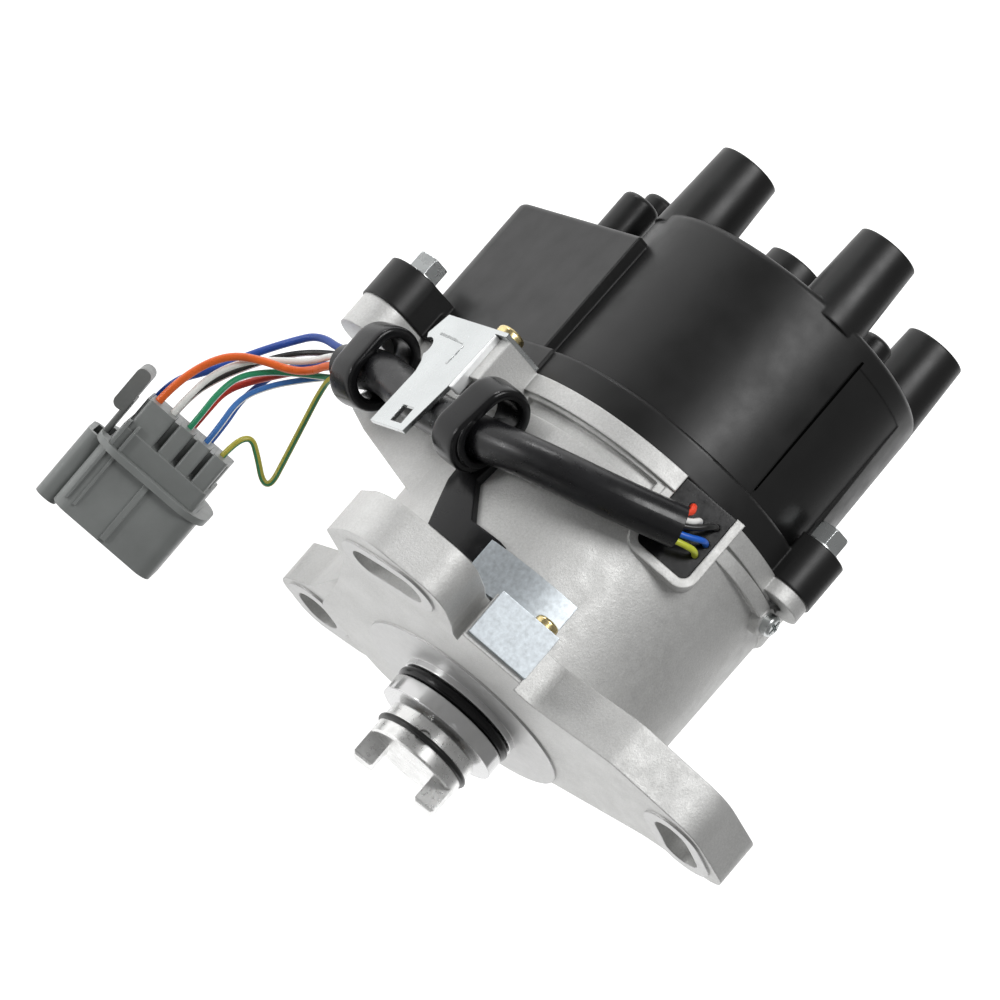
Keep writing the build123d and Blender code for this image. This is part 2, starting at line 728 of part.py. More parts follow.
def build_cap():
    skirt_outline = outline(
        cap_radius + skirt_proud, cover_half_width + 1.6, cover_drop + 1.6, compartment_corner + 1.6)
    shape = slab(skirt_outline, rim_place, rim_place + skirt_height)
    shape = fillet(shape.faces().sort_by(Axis.X)[-1].edges(), 0.9)
    dome = cone(rim_place, cap_end, cap_radius, cap_radius - cap_draft_loss)
    shape += fillet(dome.edges().group_by(Axis.X)[-1], 1.8)
    cover = slab(
        Pos(0, -(cover_drop + 6.5) / 2) * Rectangle(2 * cover_half_width, cover_drop - 6.5), rim_place, cover_end)
    cover = fillet(cover.edges().filter_by(Axis.X).group_by(Axis.Z)[0], compartment_corner)
    cover = fillet(cover.faces().sort_by(Axis.X)[-1].edges(), 1.6)
    shape += cover
    for name, (y, z) in cap_bolts_at.items():
        ear_top, radius = rim_place + bolt_ear_height[name], bolt_ear_radius[name]
        ear = rod(rim_place, ear_top, radius, y, z)
        web = block((rim_place, ear_top), (-12, 0), (-radius, radius))
        shape += ear + Pos(0, y, z) * Rot(ear_turn[name], 0, 0) * web
    shape -= rod(rim_place - 1, cover_end - cap_wall, cap_inner_radius)
    inner_top = -10.0
    inner_bottom = -cover_drop + cap_wall
    inner_cover_box = slab(
        Pos(0, (inner_top + inner_bottom) / 2) * Rectangle(2 * (cover_half_width - cap_wall), inner_top - inner_bottom),
        rim_place - 1, cover_end - cap_wall)
    shape -= fillet(inner_cover_box.edges().filter_by(Axis.X).group_by(Axis.Z)[0], compartment_corner - cap_wall)
    shape -= cone(cover_end - cap_wall - 1, cap_end - cap_end_wall, cap_inner_radius, cap_inner_radius - 0.4)
    return shape


def cap_details(shape):
    for y, z in tower_places():
        shape += cone(cap_end - 3, tower_end, tower_base_radius, tower_tip_radius, y, z)
        shape += rod(terminal_low + 5, cap_end - 1, terminal_radius + 2.2, y, z)
    for top, radius, y, z in (post_front, post_back, post_vent):
        post = rod(cover_end - 2, top, radius, y, z)
        shape += fillet(post.edges().group_by(Axis.X)[-1], 1.5)
    shape += rod(brush_boss_low, cap_end - 1, brush_boss_radius)
    shape += block((ht_strip_place + ht_strip_thickness, cover_end - 1), (-3, 3), (-46, 0))
    shape += block((cover_end - cap_wall, cap_end - 1), (-3, 3), (-cap_inner_radius - 1, 0))
    for y, z in tower_places():
        shape -= rod(tower_end - socket_depth, tower_end + 1, socket_radius, y, z)
        shape -= rod(terminal_low, tower_end - socket_depth + 1, terminal_radius, y, z)
    shape -= rod(brush_boss_low - 1, brush_hole_end, brush_diameter / 2 + running_clearance)
    for name, (y, z) in cap_bolts_at.items():
        shape -= rod(rim_place - 1, rim_place + bolt_ear_height[name] + 1, bolt_diameter / 2 + 0.3, y, z)
        shape -= rod(rim_place + bolt_ear_height[name], cover_end + 2, washer_radius + washer_gap, y, z)
    recess = ring(rim_place + skirt_height, cap_end - 6, cap_radius + 3, cap_radius - 0.9)
    shape -= recess & slab(sector(cap_radius + 6, 87.0, 122.0), rim_place, cap_end)
    return shape


brush_top = rotor_top + brush_gap + brush_length
brush_boss_low = rotor_top + 5.0
brush_hole_end = cap_end - cap_end_wall
cap = save(cap_details(build_cap()), "cap")


def build_terminals():
    return [rod(terminal_low, tower_end - socket_depth, terminal_radius, y, z) for y, z in tower_places()]


save(Compound(children=build_terminals()), "tower_terminals")
brush = rod(rotor_top + brush_gap, brush_top, brush_diameter / 2)
save(fillet(brush.edges().group_by(Axis.X)[0], 0.8), "carbon_brush")


def build_brush_spring():
    start = brush_top
    end = brush_hole_end
    coil_radius = brush_diameter / 2 - spring_wire / 2 - 0.15
    path = Helix(pitch=(end - start - spring_wire) / spring_turns, height=end - start - spring_wire, radius=coil_radius)
    section = Plane(origin=path @ 0, z_dir=path % 0) * Circle(spring_wire / 2)
    helix = sweep(section, path=path)
    return Pos(start + spring_wire / 2, 0, 0) * Rot(0, 90, 0) * helix


save(build_brush_spring(), "brush_spring")

strip = block((ht_strip_place, ht_strip_place + ht_strip_thickness), (-2.5, 2.5), (coil_place[2] - 1, -brush_boss_radius))
save(strip, "high_tension_strip")


# Cap bolts and washers
def build_cap_bolts():
    bolts = []
    washers = []
    for name, (y, z) in cap_bolts_at.items():
        seat = rim_place + bolt_ear_height[name]
        washers.append(ring(seat, seat + washer_thickness, washer_radius, bolt_diameter / 2, y, z))
        seat += washer_thickness
        head = Pos(0, y, z) * slab(RegularPolygon(bolt_head_across / 2, 6, major_radius=False), seat, seat + bolt_head_height)
        head &= cone(seat - 1, seat + bolt_head_height, bolt_head_across * 0.8, bolt_head_across * 0.54, y, z)
        shank = rod(rim_place - ear_depth[name] + 0.5, seat, bolt_diameter / 2 - 0.2, y, z)
        cross = block((seat + 3.4, seat + 6), (y - 2.2, y + 2.2), (z - 0.6, z + 0.6))
        cross += block((seat + 3.4, seat + 6), (y - 0.6, y + 0.6), (z - 2.2, z + 2.2))
        bolts.append(head + shank - cross)
    return bolts, washers


cap_bolts, cap_washers = build_cap_bolts()
save(Compound(children=cap_bolts), "cap_bolts")
save(Compound(children=cap_washers), "cap_bolt_washers")


# Cords
def radii_of(points, share=0.45):
    """Bend radii that leave a straight piece between neighbouring bends."""
    radii = []
    for before, corner, after in zip(points, points[1:], points[2:]):
        run_in = Vector(*corner) - Vector(*before)
        run_out = Vector(*after) - Vector(*corner)
        turning = radians(run_in.get_angle(run_out))
        radii.append(share * min(run_in.length, run_out.length) / tan(turning / 2))
    return radii


def route(points):
    return FilletPolyline(*points, radius=radii_of(points))


def cord(points, diameter):
    """A cord of straight runs and tangent bends."""
    path = route(points)
    section = Plane(origin=path @ 0, z_dir=path % 0) * Circle(diameter / 2)
    return sweep(section, path=path)


sleeve_gap = 8.8
sleeve_route = (
    (54.8, *at_angle(body_radius + 8.2, 71.7)), (49.5, *at_angle(body_radius + sleeve_gap, 54.2)),
    (45.6, *at_angle(body_radius + sleeve_gap, 32.5)), (43.4, *at_angle(body_radius + sleeve_gap, 10.7)),
    (46.4, compartment_half_width + sleeve_gap, -20.0),
    (51.6, compartment_half_width + sleeve_gap + 0.6, clip_rear_place[2] + 4.5),
    (49.6, compartment_half_width + sleeve_gap + 0.8, clip_rear_place[2] - 10.5))
wires = {
    "wire_blue": (2.0, ((53.0, 54.1, -52.4), (52.1, 54.3, -59.3), (53.4, 56.2, -70.2), (48.6, 57.6, -76.2),
        (41.2, 59.7, -82.8), (31.7, 62.6, -87.9), (23.5, 67.49, -90.68), (17.21, 65.92, -93.32))),
    "wire_black_white": (1.6, ((53.7, 51.9, -52.5), (52.7, 52.1, -59.5), (49.7, 53.8, -71.2), (44.6, 56.6, -77.0),
        (37.8, 58.7, -82.5), (31.0, 61.0, -85.6), (23.5, 62.48, -87.7), (17.21, 60.91, -90.34))),
    "wire_blue_thin": (1.6, ((52.2, 49.4, -52.4), (51.2, 49.6, -59.3), (47.3, 52.3, -71.9), (42.1, 53.6, -78.2),
        (31.6, 54.6, -81.6), (23.5, 53.0, -82.08), (17.21, 51.43, -84.71))),
    "wire_red": (1.8, ((50.3, 52.2, -52.0), (49.3, 52.5, -59.0), (45.0, 52.9, -69.3), (40.2, 54.9, -74.6),
        (35.4, 56.5, -80.3), (29.8, 58.4, -83.6), (23.5, 57.77, -84.91), (17.21, 56.21, -87.55))),
    "wire_white": (1.7, ((50.7, 55.6, -52.0), (49.7, 55.8, -58.9), (46.4, 55.0, -66.6), (42.5, 58.5, -71.3),
        (37.7, 62.9, -76.4), (29.4, 66.3, -79.6), (19.55, 66.7, -80.8), (13.26, 65.13, -83.44))),
    "wire_orange": (2.0, ((48.3, 54.9, -51.7), (47.4, 55.1, -58.6), (44.1, 54.6, -64.1), (41.1, 57.4, -67.7),
        (39.0, 62.2, -72.2), (35.6, 66.9, -76.9), (29.2, 69.5, -80.5), (19.55, 70.63, -83.13), (13.26, 69.06, -85.77))),
    "wire_green_white": (1.6, ((47.8, 49.9, -51.8), (46.9, 50.1, -58.7), (42.3, 54.4, -69.6), (38.6, 58.2, -73.6),
        (33.1, 61.8, -77.0), (26.5, 62.9, -77.3), (19.55, 62.04, -78.03), (13.26, 60.47, -80.67))),
    "wire_blue_white": (1.6, ((50.0, 48.8, -52.1), (49.0, 49.0, -59.0), (42.4, 52.0, -69.2), (36.4, 55.6, -73.2),
        (29.0, 58.5, -75.5), (19.55, 57.4, -75.28), (13.26, 55.84, -77.92))),
    "wire_yellow_green": (1.6, ((46.9, 52.6, -51.6), (45.9, 52.8, -58.5), (42.2, 49.2, -64.0), (35.4, 46.2, -65.7),
        (24.9, 41.5, -68.5), (19.0, 39.4, -69.3), (18.1, 40.9, -70.8), (21.5, 45.9, -71.5), (24.2, 51.0, -71.9),
        (19.55, 53.13, -72.74), (13.26, 51.56, -75.38))),
}

wire_solids = {}
for name, (diameter, points) in wires.items():
    wire_solids[name] = save(cord(points, diameter), name)
    print(name, [round(radius, 1) for radius in radii_of(points)])
print("sleeve", [round(radius, 1) for radius in radii_of(sleeve_route)])

# Grommet and its leads
lead_offsets = (3.3, 1.65, 0.0, -1.65, -3.3)
lead_ends = ((62.4, 10.5), (60.6, 14.2), (62.3, 18.1), (57.6, 18.7), (53.9, 18.3))
lead_rise = 3.9
sleeve_end = Vector(*sleeve_route[0])
sleeve_out = (sleeve_end - Vector(*sleeve_route[1])).normalized()
sleeve_side = (Vector(1, 0, 0) - sleeve_out * sleeve_out.X).normalized()


def build_lead(offset, end):
    x, across = end
    inside = sleeve_end + sleeve_side * offset - sleeve_out * 6
    outside = sleeve_end + sleeve_side * offset + sleeve_out * 1.5
    bend = faced(x, body_radius + lead_rise, across)
    foot = faced(x, grommet_outer - 2.5, across)
    return cord((tuple(inside), tuple(outside), bend, foot), lead_diameter)


leads = [build_lead(offset, end) for offset, end in zip(lead_offsets, lead_ends)]
save(Compound(children=leads), "grommet_leads")
grommet = window_block((window_low, rim_place), (grommet_inner, grommet_outer), window_across, window_corner)
grommet -= slab(gasket_outline(), rim_place - groove_depth, rim_place + 1)
grommet -= rod(cover_place - cover_rim, rim_place, cavity_radius)
for lead in leads:
    grommet -= lead
save(grommet, "grommet")

# Sleeve and the bundle inside it
sleeve_outer = cord(sleeve_route, sleeve_diameter)
sleeve_inner = cord(sleeve_route, sleeve_diameter - 2 * sleeve_wall)
save(sleeve_outer - sleeve_inner, "harness_sleeve")
core = sleeve_inner
near_end = Plane(origin=tuple(sleeve_end), z_dir=tuple(sleeve_out))
far_point = Vector(*sleeve_route[-1])
far_out = (far_point - Vector(*sleeve_route[-2])).normalized()
far_end = Plane(origin=tuple(far_point), z_dir=tuple(far_out))
for end_plane in (near_end, far_end):
    core -= end_plane * Cylinder(sleeve_diameter, 4)
for solid in leads + list(wire_solids.values()):
    core -= solid
save(core, "harness_core")


# Clips
def clip_ring(place, low_reach, high_reach):
    """A flattened rubber loop round the sleeve, longer along X than across."""
    x, y, z = place
    inner_ends = (x - low_reach, x + high_reach)
    middle = sum(inner_ends) / 2
    length = inner_ends[1] - inner_ends[0]
    inner = SlotOverall(length, 2 * clip_half_gap)
    outer = SlotOverall(length + 2 * clip_thickness, 2 * (clip_half_gap + clip_thickness))
    plane = Plane(origin=(middle, y, z), x_dir=(1, 0, 0), z_dir=(0, 0, 1))
    band = extrude(plane * (outer - inner), clip_width / 2, both=True)
    rims = band.edges().group_by(Axis.Z)
    return fillet(rims[0] + rims[-1], 0.6)


def build_rear_clip():
    x, y, z = clip_rear_place
    shape = clip_ring(clip_rear_place, 7.6, 9.4)
    back = y - clip_half_gap - 1.0
    shape += block((x - 4, x + 5), (compartment_half_width, back), (z - 3.5, z + 3.5))
    shape += Pos(x, compartment_half_width - 1.0, z) * Rot(90, 0, 0) * Cylinder(clip_stud_radius, 2.4)
    return shape - sleeve_outer


def build_front_clip():
    x, y, z = clip_front_place
    reach = hypot(y, z)
    shape = clip_ring((x, reach, 0), 7.0, 10.5)
    shape += block((x - 6.6, x + 0.4), (strap_radius + 0.4, reach - clip_half_gap - 1.0), (-4, -1))
    shape = turn(shape, degrees(atan2(z, y)))
    inner = strap_radius
    strap = ring(15.0, 46.0, inner + strap_thickness, inner)
    corners = ((46, 13), (46, 3), (33, 4), (20.6, 9.2), (18, 26.5), (26, 27), (26.6, 18.5), (35.7, 11.9))
    plane = Plane(origin=(0, 0, 0), x_dir=(1, 0, 0), z_dir=(0, -1, 0))
    patch = extrude(plane * make_face(Polyline(*corners, close=True)), -70)
    shape = shape - sleeve_outer + (strap & patch)
    return shape


strap_radius = body_radius + 0.5
save(build_rear_clip(), "clip_rear")
save(build_front_clip(), "clip_front")


# Brackets and their screws
bracket_plane = compartment_half_width + 14.4
bracket_foot_low = compartment_half_width + 3.0
foot_end = rim_place + bracket_thickness


def build_upper_bracket():
    corners = (
        (foot_end, -25.0), (foot_end, -2.0), (50, -3.0), (35, -5.5), (35, -20.5), (51, -19.5),
        (54, -20.5), (62, -27.0))
    plate = profile(corners, bracket_thickness, bracket_plane + bracket_thickness / 2)
    hook = Pos(58.0, bracket_plane, -24.5) * Rot(90, 0, 0) * Cylinder(3.0, 6)
    hole = block((36.7, 41.7), (bracket_plane - 3, bracket_plane + 3), (-13.3, -8.3))
    plate = plate - hook - hole
    strip = block((51, 54), (bracket_plane - 3.5, bracket_plane + bracket_thickness), (-4.4, -3.2))
    foot = block(
        (rim_place, foot_end), (bracket_foot_low, bracket_plane + bracket_thickness), (-22.0, 2.4))
    foot = foot + plate + strip
    y, z = upper_screw
    return foot - rod(rim_place - 1, foot_end + 1, small_screw / 2 + 0.2, y, z)


def build_lower_bracket():
    inner = strap_radius + strap_thickness
    outer = inner + bracket_thickness
    back_angle = 34.0
    front_angle = 66.0
    shell = ring(lug_end, 25.0, outer, inner) & slab(sector(60, back_angle, front_angle), 0, 40)
    foot_across = (lug_across[0] + 0.5, lug_across[1] + 0.3)
    shape = shell + faced_block(
        (lug_end, lug_end + bracket_thickness), (inner, lug_reach + bracket_thickness), foot_across)
    shape -= rod(lug_end - 1, lug_end + 3, inner)
    shape += faced_block(
        (2.0, lug_end + bracket_thickness), (lug_reach, lug_reach + bracket_thickness), foot_across)
    y, z = lower_screw
    return shape - rod(lug_end - 1, lug_end + 3, small_screw / 2 + 0.2, y, z)


save(build_upper_bracket(), "bracket_upper")
save(build_lower_bracket(), "bracket_lower")
upper = screw(foot_end, *upper_screw, 10.0, 3.7, 2.6)
lower = screw(lug_end + bracket_thickness, *lower_screw, 9.0, 3.1, 2.4)
save(Compound(children=[upper, lower]), "bracket_screws")
stud_seat = body_radius + stud_rise
stud = Pos(stud_place, stud_seat, 0) * Rot(0, 0, 90) * screw(0, 0, 0, 5.5, 2.8, 2.4)
save(turn(stud, stud_angle), "housing_screw")


# Connector: local X towards its wires, local Y and Z across the wide and the narrow side
connector_centre = (4.0, 55.0, -88.5)
connector_tilt = -26.0
shell_wide = (-15.5, 14.8)
shell_half = 10.0
shell_wall = 1.6
shell_length = 19.5
latch_pivot = -3.5
latch_pin_radius = 0.75


def on_connector(shape):
    return Pos(*connector_centre) * Rot(face_angle - 90, 0, 0) * Rot(0, connector_tilt, 0) * shape


def rounded_block(x_range, y_range, z_range, radius):
    shape = block(x_range, y_range, z_range)
    return fillet(shape.edges().filter_by(Axis.X), radius)


# Where each wire goes in: local Y and Z
cavities = {
    "wire_blue": (11.85, -4.5), "wire_black_white": (6.02, -4.5), "wire_red": (0.55, -4.5), "wire_blue_thin": (-5.0, -4.5),
    "wire_orange": (10.7, 4.5), "wire_white": (6.13, 4.5), "wire_green_white": (0.71, 4.5),
    "wire_blue_white": (-4.68, 4.5), "wire_yellow_green": (-9.65, 4.5)}
terminal_ends = (-13.0, 12.5)


def build_shell():
    low, high = shell_wide
    body = rounded_block((-shell_length, 0), (low, high), (-shell_half, shell_half), 4.0)
    inside = (low + shell_wall, high - shell_wall)
    body -= rounded_block((-shell_length - 5, -2), inside, (-shell_half + shell_wall, shell_half - shell_wall), 2.6)
    body += rounded_block((-1.0, 0.8), (low - 1.6, high + 2.0), (-shell_half - 1.5, shell_half + 1.5), 8.0)
    body += block((-shell_length + 1, -1), (-1.6, 0.0), (shell_half - 0.5, shell_half + 0.8))
    for place in (9.5, 12.2):
        body += block((-shell_length + 3, -1), (place, place + 0.8), (shell_half - 0.8, shell_half + 0.5))
    body += rounded_block((-shell_length - 2, -1), (high - 1.0, high + 5.0), (-7.0, 5.0), 2.6)
    body -= block((-shell_length - 3, 1.5), (high, high + 3.6), (-5.4, 3.4))
    body -= block((latch_pivot, 1.5), (high - 0.6, high + 1), (-5.4, 3.4))
    body -= rounded_block((-3, 1), inside, (-shell_half + shell_wall, shell_half - shell_wall), 2.6)
    return body - Pos(latch_pivot, high + 1.15, -1.0) * Cylinder(latch_pin_radius + running_clearance, 11.0)


def build_holder():
    low, high = shell_wide
    shape = rounded_block((0.8, 6.4), (low + 2.4, high - 1.2), (-8.8, 8.8), 1.5)
    shape += rounded_block((-2.0, 0.8), (low + shell_wall, high - shell_wall), (-8.4, 8.4), 2.6)
    for centre, width in ((-10.0, 4.2), (-4.7, 4.0), (0.8, 4.2), (8.4, 7.8)):
        shape += rounded_block((6.4, 15.5), (centre - width / 2, centre + width / 2), (1.0, 8.4), 0.8)
    shape += rounded_block((6.4, 13.5), (low + 3.0, high - 1.5), (-8.4, 1.4), 1.0)
    for place in (9.5, 12.2):
        shape += block((0.8, 8.5), (place, place + 0.9), (8.0, 10.0))
    for name, (y, z) in cavities.items():
        shape -= rod(terminal_ends[1] - 10, terminal_ends[1] + 8, wires[name][0] / 2, y, z)
    return on_connector(shape)


def build_terminal(y, z):
    return on_connector(rod(*terminal_ends, 0.7, y, z))


def build_latch():
    low, high = shell_wide
    arm = rounded_block((-5.0, 11.0), (high + 0.4, high + 1.9), (-5.0, 3.0), 0.6)
    pad = block((7.0, 19.0), (high + 0.7, high + 4.7), (-5.0, 3.0))
    pad = fillet(pad.edges().filter_by(Axis.Z), 1.8)
    nose = block((-14.0, -3.0), (high + 0.4, high + 1.6), (-3.0, 1.0))
    pivot = Pos(latch_pivot, high + 1.15, -1.0) * Cylinder(latch_pin_radius, 10.6)
    return on_connector(arm + pad + nose + pivot)


save(on_connector(build_shell()), "connector_shell")
holder = build_holder()
terminals = [build_terminal(y, z) for y, z in cavities.values()]
for terminal in terminals:
    holder -= terminal
save(holder, "connector_holder")
save(Compound(children=terminals), "connector_terminals")
save(build_latch(), "connector_latch")
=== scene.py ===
import json
from math import cos, sin, radians, sqrt, pi

import bpy
import bmesh
from mathutils import Matrix, Vector


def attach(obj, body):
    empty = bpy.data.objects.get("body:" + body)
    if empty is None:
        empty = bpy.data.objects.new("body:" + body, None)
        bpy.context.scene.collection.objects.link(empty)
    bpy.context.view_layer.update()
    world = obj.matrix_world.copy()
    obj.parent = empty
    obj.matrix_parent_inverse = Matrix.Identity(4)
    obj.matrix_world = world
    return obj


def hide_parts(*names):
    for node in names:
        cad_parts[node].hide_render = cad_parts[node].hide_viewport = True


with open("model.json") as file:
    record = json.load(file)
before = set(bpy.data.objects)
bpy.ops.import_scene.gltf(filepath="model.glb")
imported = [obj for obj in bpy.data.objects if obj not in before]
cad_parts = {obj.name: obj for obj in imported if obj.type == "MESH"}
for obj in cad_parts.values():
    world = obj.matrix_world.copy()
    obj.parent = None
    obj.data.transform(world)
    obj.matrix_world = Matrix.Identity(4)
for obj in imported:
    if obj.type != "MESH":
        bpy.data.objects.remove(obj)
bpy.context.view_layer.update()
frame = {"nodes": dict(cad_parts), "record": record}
nodes = frame["nodes"]
MM = 0.001

# Camera: the shaft's image direction, the turn about it and the foreshortening give the view
VIEW_PIXELS = 9000.0
PIXELS_PER_MM = 4.2
SHAFT_TILT = 0.237
SHAFT_ANGLE = radians(49.2)
FACE_TURN = radians(59.3)
ORIGIN_PIXEL = (462.0, 703.6)
IMAGE_HALF = 500.0
SENSOR = 36.0

flat = sqrt(1 - SHAFT_TILT ** 2)
shaft_line = Vector((flat * cos(SHAFT_ANGLE), flat * sin(SHAFT_ANGLE), -SHAFT_TILT))
across = Vector((sin(SHAFT_ANGLE), -cos(SHAFT_ANGLE), 0))
towards = across.cross(shaft_line)
y_line = across * -sin(FACE_TURN) + towards * cos(FACE_TURN)
z_line = across * cos(FACE_TURN) + towards * sin(FACE_TURN)
distance = VIEW_PIXELS / PIXELS_PER_MM
origin = Vector((
    (ORIGIN_PIXEL[0] - IMAGE_HALF) / VIEW_PIXELS * distance,
    (IMAGE_HALF - ORIGIN_PIXEL[1]) / VIEW_PIXELS * distance,
    -distance))
rows = Matrix((shaft_line, y_line, z_line))
CAMERA_RIGHT = rows @ Vector((1, 0, 0))
CAMERA_UP = rows @ Vector((0, 1, 0))
CAMERA_BACK = rows @ Vector((0, 0, 1))
camera_place = -(rows @ origin) * MM

camera_data = bpy.data.cameras.new("camera")
camera_data.sensor_width = SENSOR
camera_data.lens = VIEW_PIXELS * SENSOR / (2 * IMAGE_HALF)
camera_data.clip_end = 50
camera = bpy.data.objects.new("camera", camera_data)
bpy.context.scene.collection.objects.link(camera)
turn = Matrix((CAMERA_RIGHT, CAMERA_UP, CAMERA_BACK)).transposed()
camera.matrix_world = Matrix.Translation(camera_place) @ turn.to_4x4()
bpy.context.scene.camera = camera


# Material building
def start_material(name):
    material = bpy.data.materials.new(name)
    material.use_nodes = True
    tree = material.node_tree
    shader = tree.nodes["Principled BSDF"]
    return material, tree, shader


def add(tree, kind, values=None, **properties):
    node = tree.nodes.new(kind)
    for key, value in properties.items():
        setattr(node, key, value)
    for key, value in (values or {}).items():
        node.inputs[key].default_value = value
    return node


def object_place(tree):
    return add(tree, "ShaderNodeTexCoord").outputs["Object"]


def noise(tree, place, scale, detail, roughness=0.55):
    node = add(tree, "ShaderNodeTexNoise", {
        "Scale": scale, "Detail": detail, "Roughness": roughness})
    tree.links.new(place, node.inputs["Vector"])
    return node.outputs["Fac"]


# The part of its range that a noise texture nearly always fills
NOISE_LOW = 0.3
NOISE_HIGH = 0.7


def spread(tree, source, low, high, to_low, to_high):
    """Map one range of a value to another, with its ends held."""
    node = add(tree, "ShaderNodeMapRange", {
        "From Min": low, "From Max": high, "To Min": to_low, "To Max": to_high})
    tree.links.new(source, node.inputs["Value"])
    return node.outputs["Result"]


def noise_between(tree, place, scale, detail, to_low, to_high):
    """Noise whose usual range is stretched between two values."""
    return spread(tree, noise(tree, place, scale, detail), NOISE_LOW, NOISE_HIGH, to_low, to_high)


def maths(tree, operation, first, second=None):
    node = add(tree, "ShaderNodeMath", operation=operation)
    for index, value in enumerate((first, second)):
        if value is None:
            continue
        if isinstance(value, (int, float)):
            node.inputs[index].default_value = value
        else:
            tree.links.new(value, node.inputs[index])
    return node.outputs["Value"]


def mix_values(tree, factor, first, second):
    node = add(tree, "ShaderNodeMix", data_type="FLOAT")
    tree.links.new(factor, node.inputs["Factor"])
    tree.links.new(first, node.inputs[2])
    tree.links.new(second, node.inputs[3])
    return node.outputs[0]


def mix_colours(tree, factor, first, second):
    node = add(tree, "ShaderNodeMix", data_type="RGBA")
    tree.links.new(factor, node.inputs["Factor"])
    for socket, value in zip((node.inputs[6], node.inputs[7]), (first, second)):
        if isinstance(value, tuple):
            socket.default_value = (*value, 1)
        else:
            tree.links.new(value, socket)
    return node.outputs[2]


def split(tree, place):
    node = add(tree, "ShaderNodeSeparateXYZ")
    tree.links.new(place, node.inputs["Vector"])
    return node.outputs["X"], node.outputs["Y"], node.outputs["Z"]


def shaft_radius(tree, y, z):
    """Distance from the shaft's axis."""
    squares = maths(tree, "ADD", maths(tree, "MULTIPLY", y, y), maths(tree, "MULTIPLY", z, z))
    return maths(tree, "SQRT", squares)


def bump(tree, height, strength, depth, normal):
    node = add(tree, "ShaderNodeBump", {"Strength": strength, "Distance": depth})
    tree.links.new(height, node.inputs["Height"])
    tree.links.new(normal, node.inputs["Normal"])
    return node.outputs["Normal"]


def rounded(tree, radius):
    node = add(tree, "ShaderNodeBevel", {"Radius": radius}, samples=6)
    return node.outputs["Normal"]


def edge_mask(tree, radius):
    """1 along sharp edges, 0 on open faces, from how far the eased normal turns away."""
    soft = rounded(tree, radius)
    geometry = add(tree, "ShaderNodeNewGeometry")
    dot = add(tree, "ShaderNodeVectorMath", operation="DOT_PRODUCT")
    tree.links.new(soft, dot.inputs[0])
    tree.links.new(geometry.outputs["Normal"], dot.inputs[1])
    return spread(tree, dot.outputs["Value"], 0.8, 0.995, 1.0, 0.0)


def scale_colour(colour, factor):
    return tuple(min(1.0, channel * factor) for channel in colour)


WEAR_REACH = 1.6
WEAR_PALENESS = 1.6
GLOSS_SCALE = 3.1


def surface(name, colour, roughness, metallic=0.0, grain=(2500, 0.2, 0.0001), mottle=(120, 0.12),
            uneven=0.06, edge=0.0003, wear=0.0, shine=0.5):
    """A moulded, plated or rubber surface.

    grain is the bump's scale, strength and depth, mottle the scale and strength of the colour's
    change, uneven the change in roughness, edge the easing radius and wear the paleness of edges.
    """
    material, tree, shader = start_material(name)
    place = object_place(tree)
    grain_scale, grain_strength, grain_depth = grain
    mottle_scale, mottle_strength = mottle
    cloud = noise_between(tree, place, mottle_scale, 4, 0, 1)
    dark = scale_colour(colour, 1 - mottle_strength)
    pale = scale_colour(colour, 1 + mottle_strength)
    tone = mix_colours(tree, cloud, dark, pale)
    if wear:
        worn = maths(tree, "MULTIPLY", edge_mask(tree, edge * WEAR_REACH), wear)
        tone = mix_colours(tree, worn, tone, scale_colour(colour, WEAR_PALENESS))
    tree.links.new(tone, shader.inputs["Base Color"])
    gloss = noise_between(
        tree, place, mottle_scale * GLOSS_SCALE, 3, roughness - uneven, roughness + uneven)
    tree.links.new(gloss, shader.inputs["Roughness"])
    shader.inputs["Metallic"].default_value = metallic
    shader.inputs["Specular IOR Level"].default_value = shine
    fine = noise(tree, place, grain_scale, 4, 0.7)
    normal = bump(tree, fine, grain_strength, grain_depth, rounded(tree, edge))
    tree.links.new(normal, shader.inputs["Normal"])
    return material


# Where the casting is machined, in metres in the shared frame
FLANGE_FACE_X = 0.0003
LOW_EAR_FACE_X = 0.0043
LOW_EAR_Z = -0.047
PILOT_X = -0.0002
PILOT_RADIUS = 0.0165
TURNING_PITCH = 0.0005


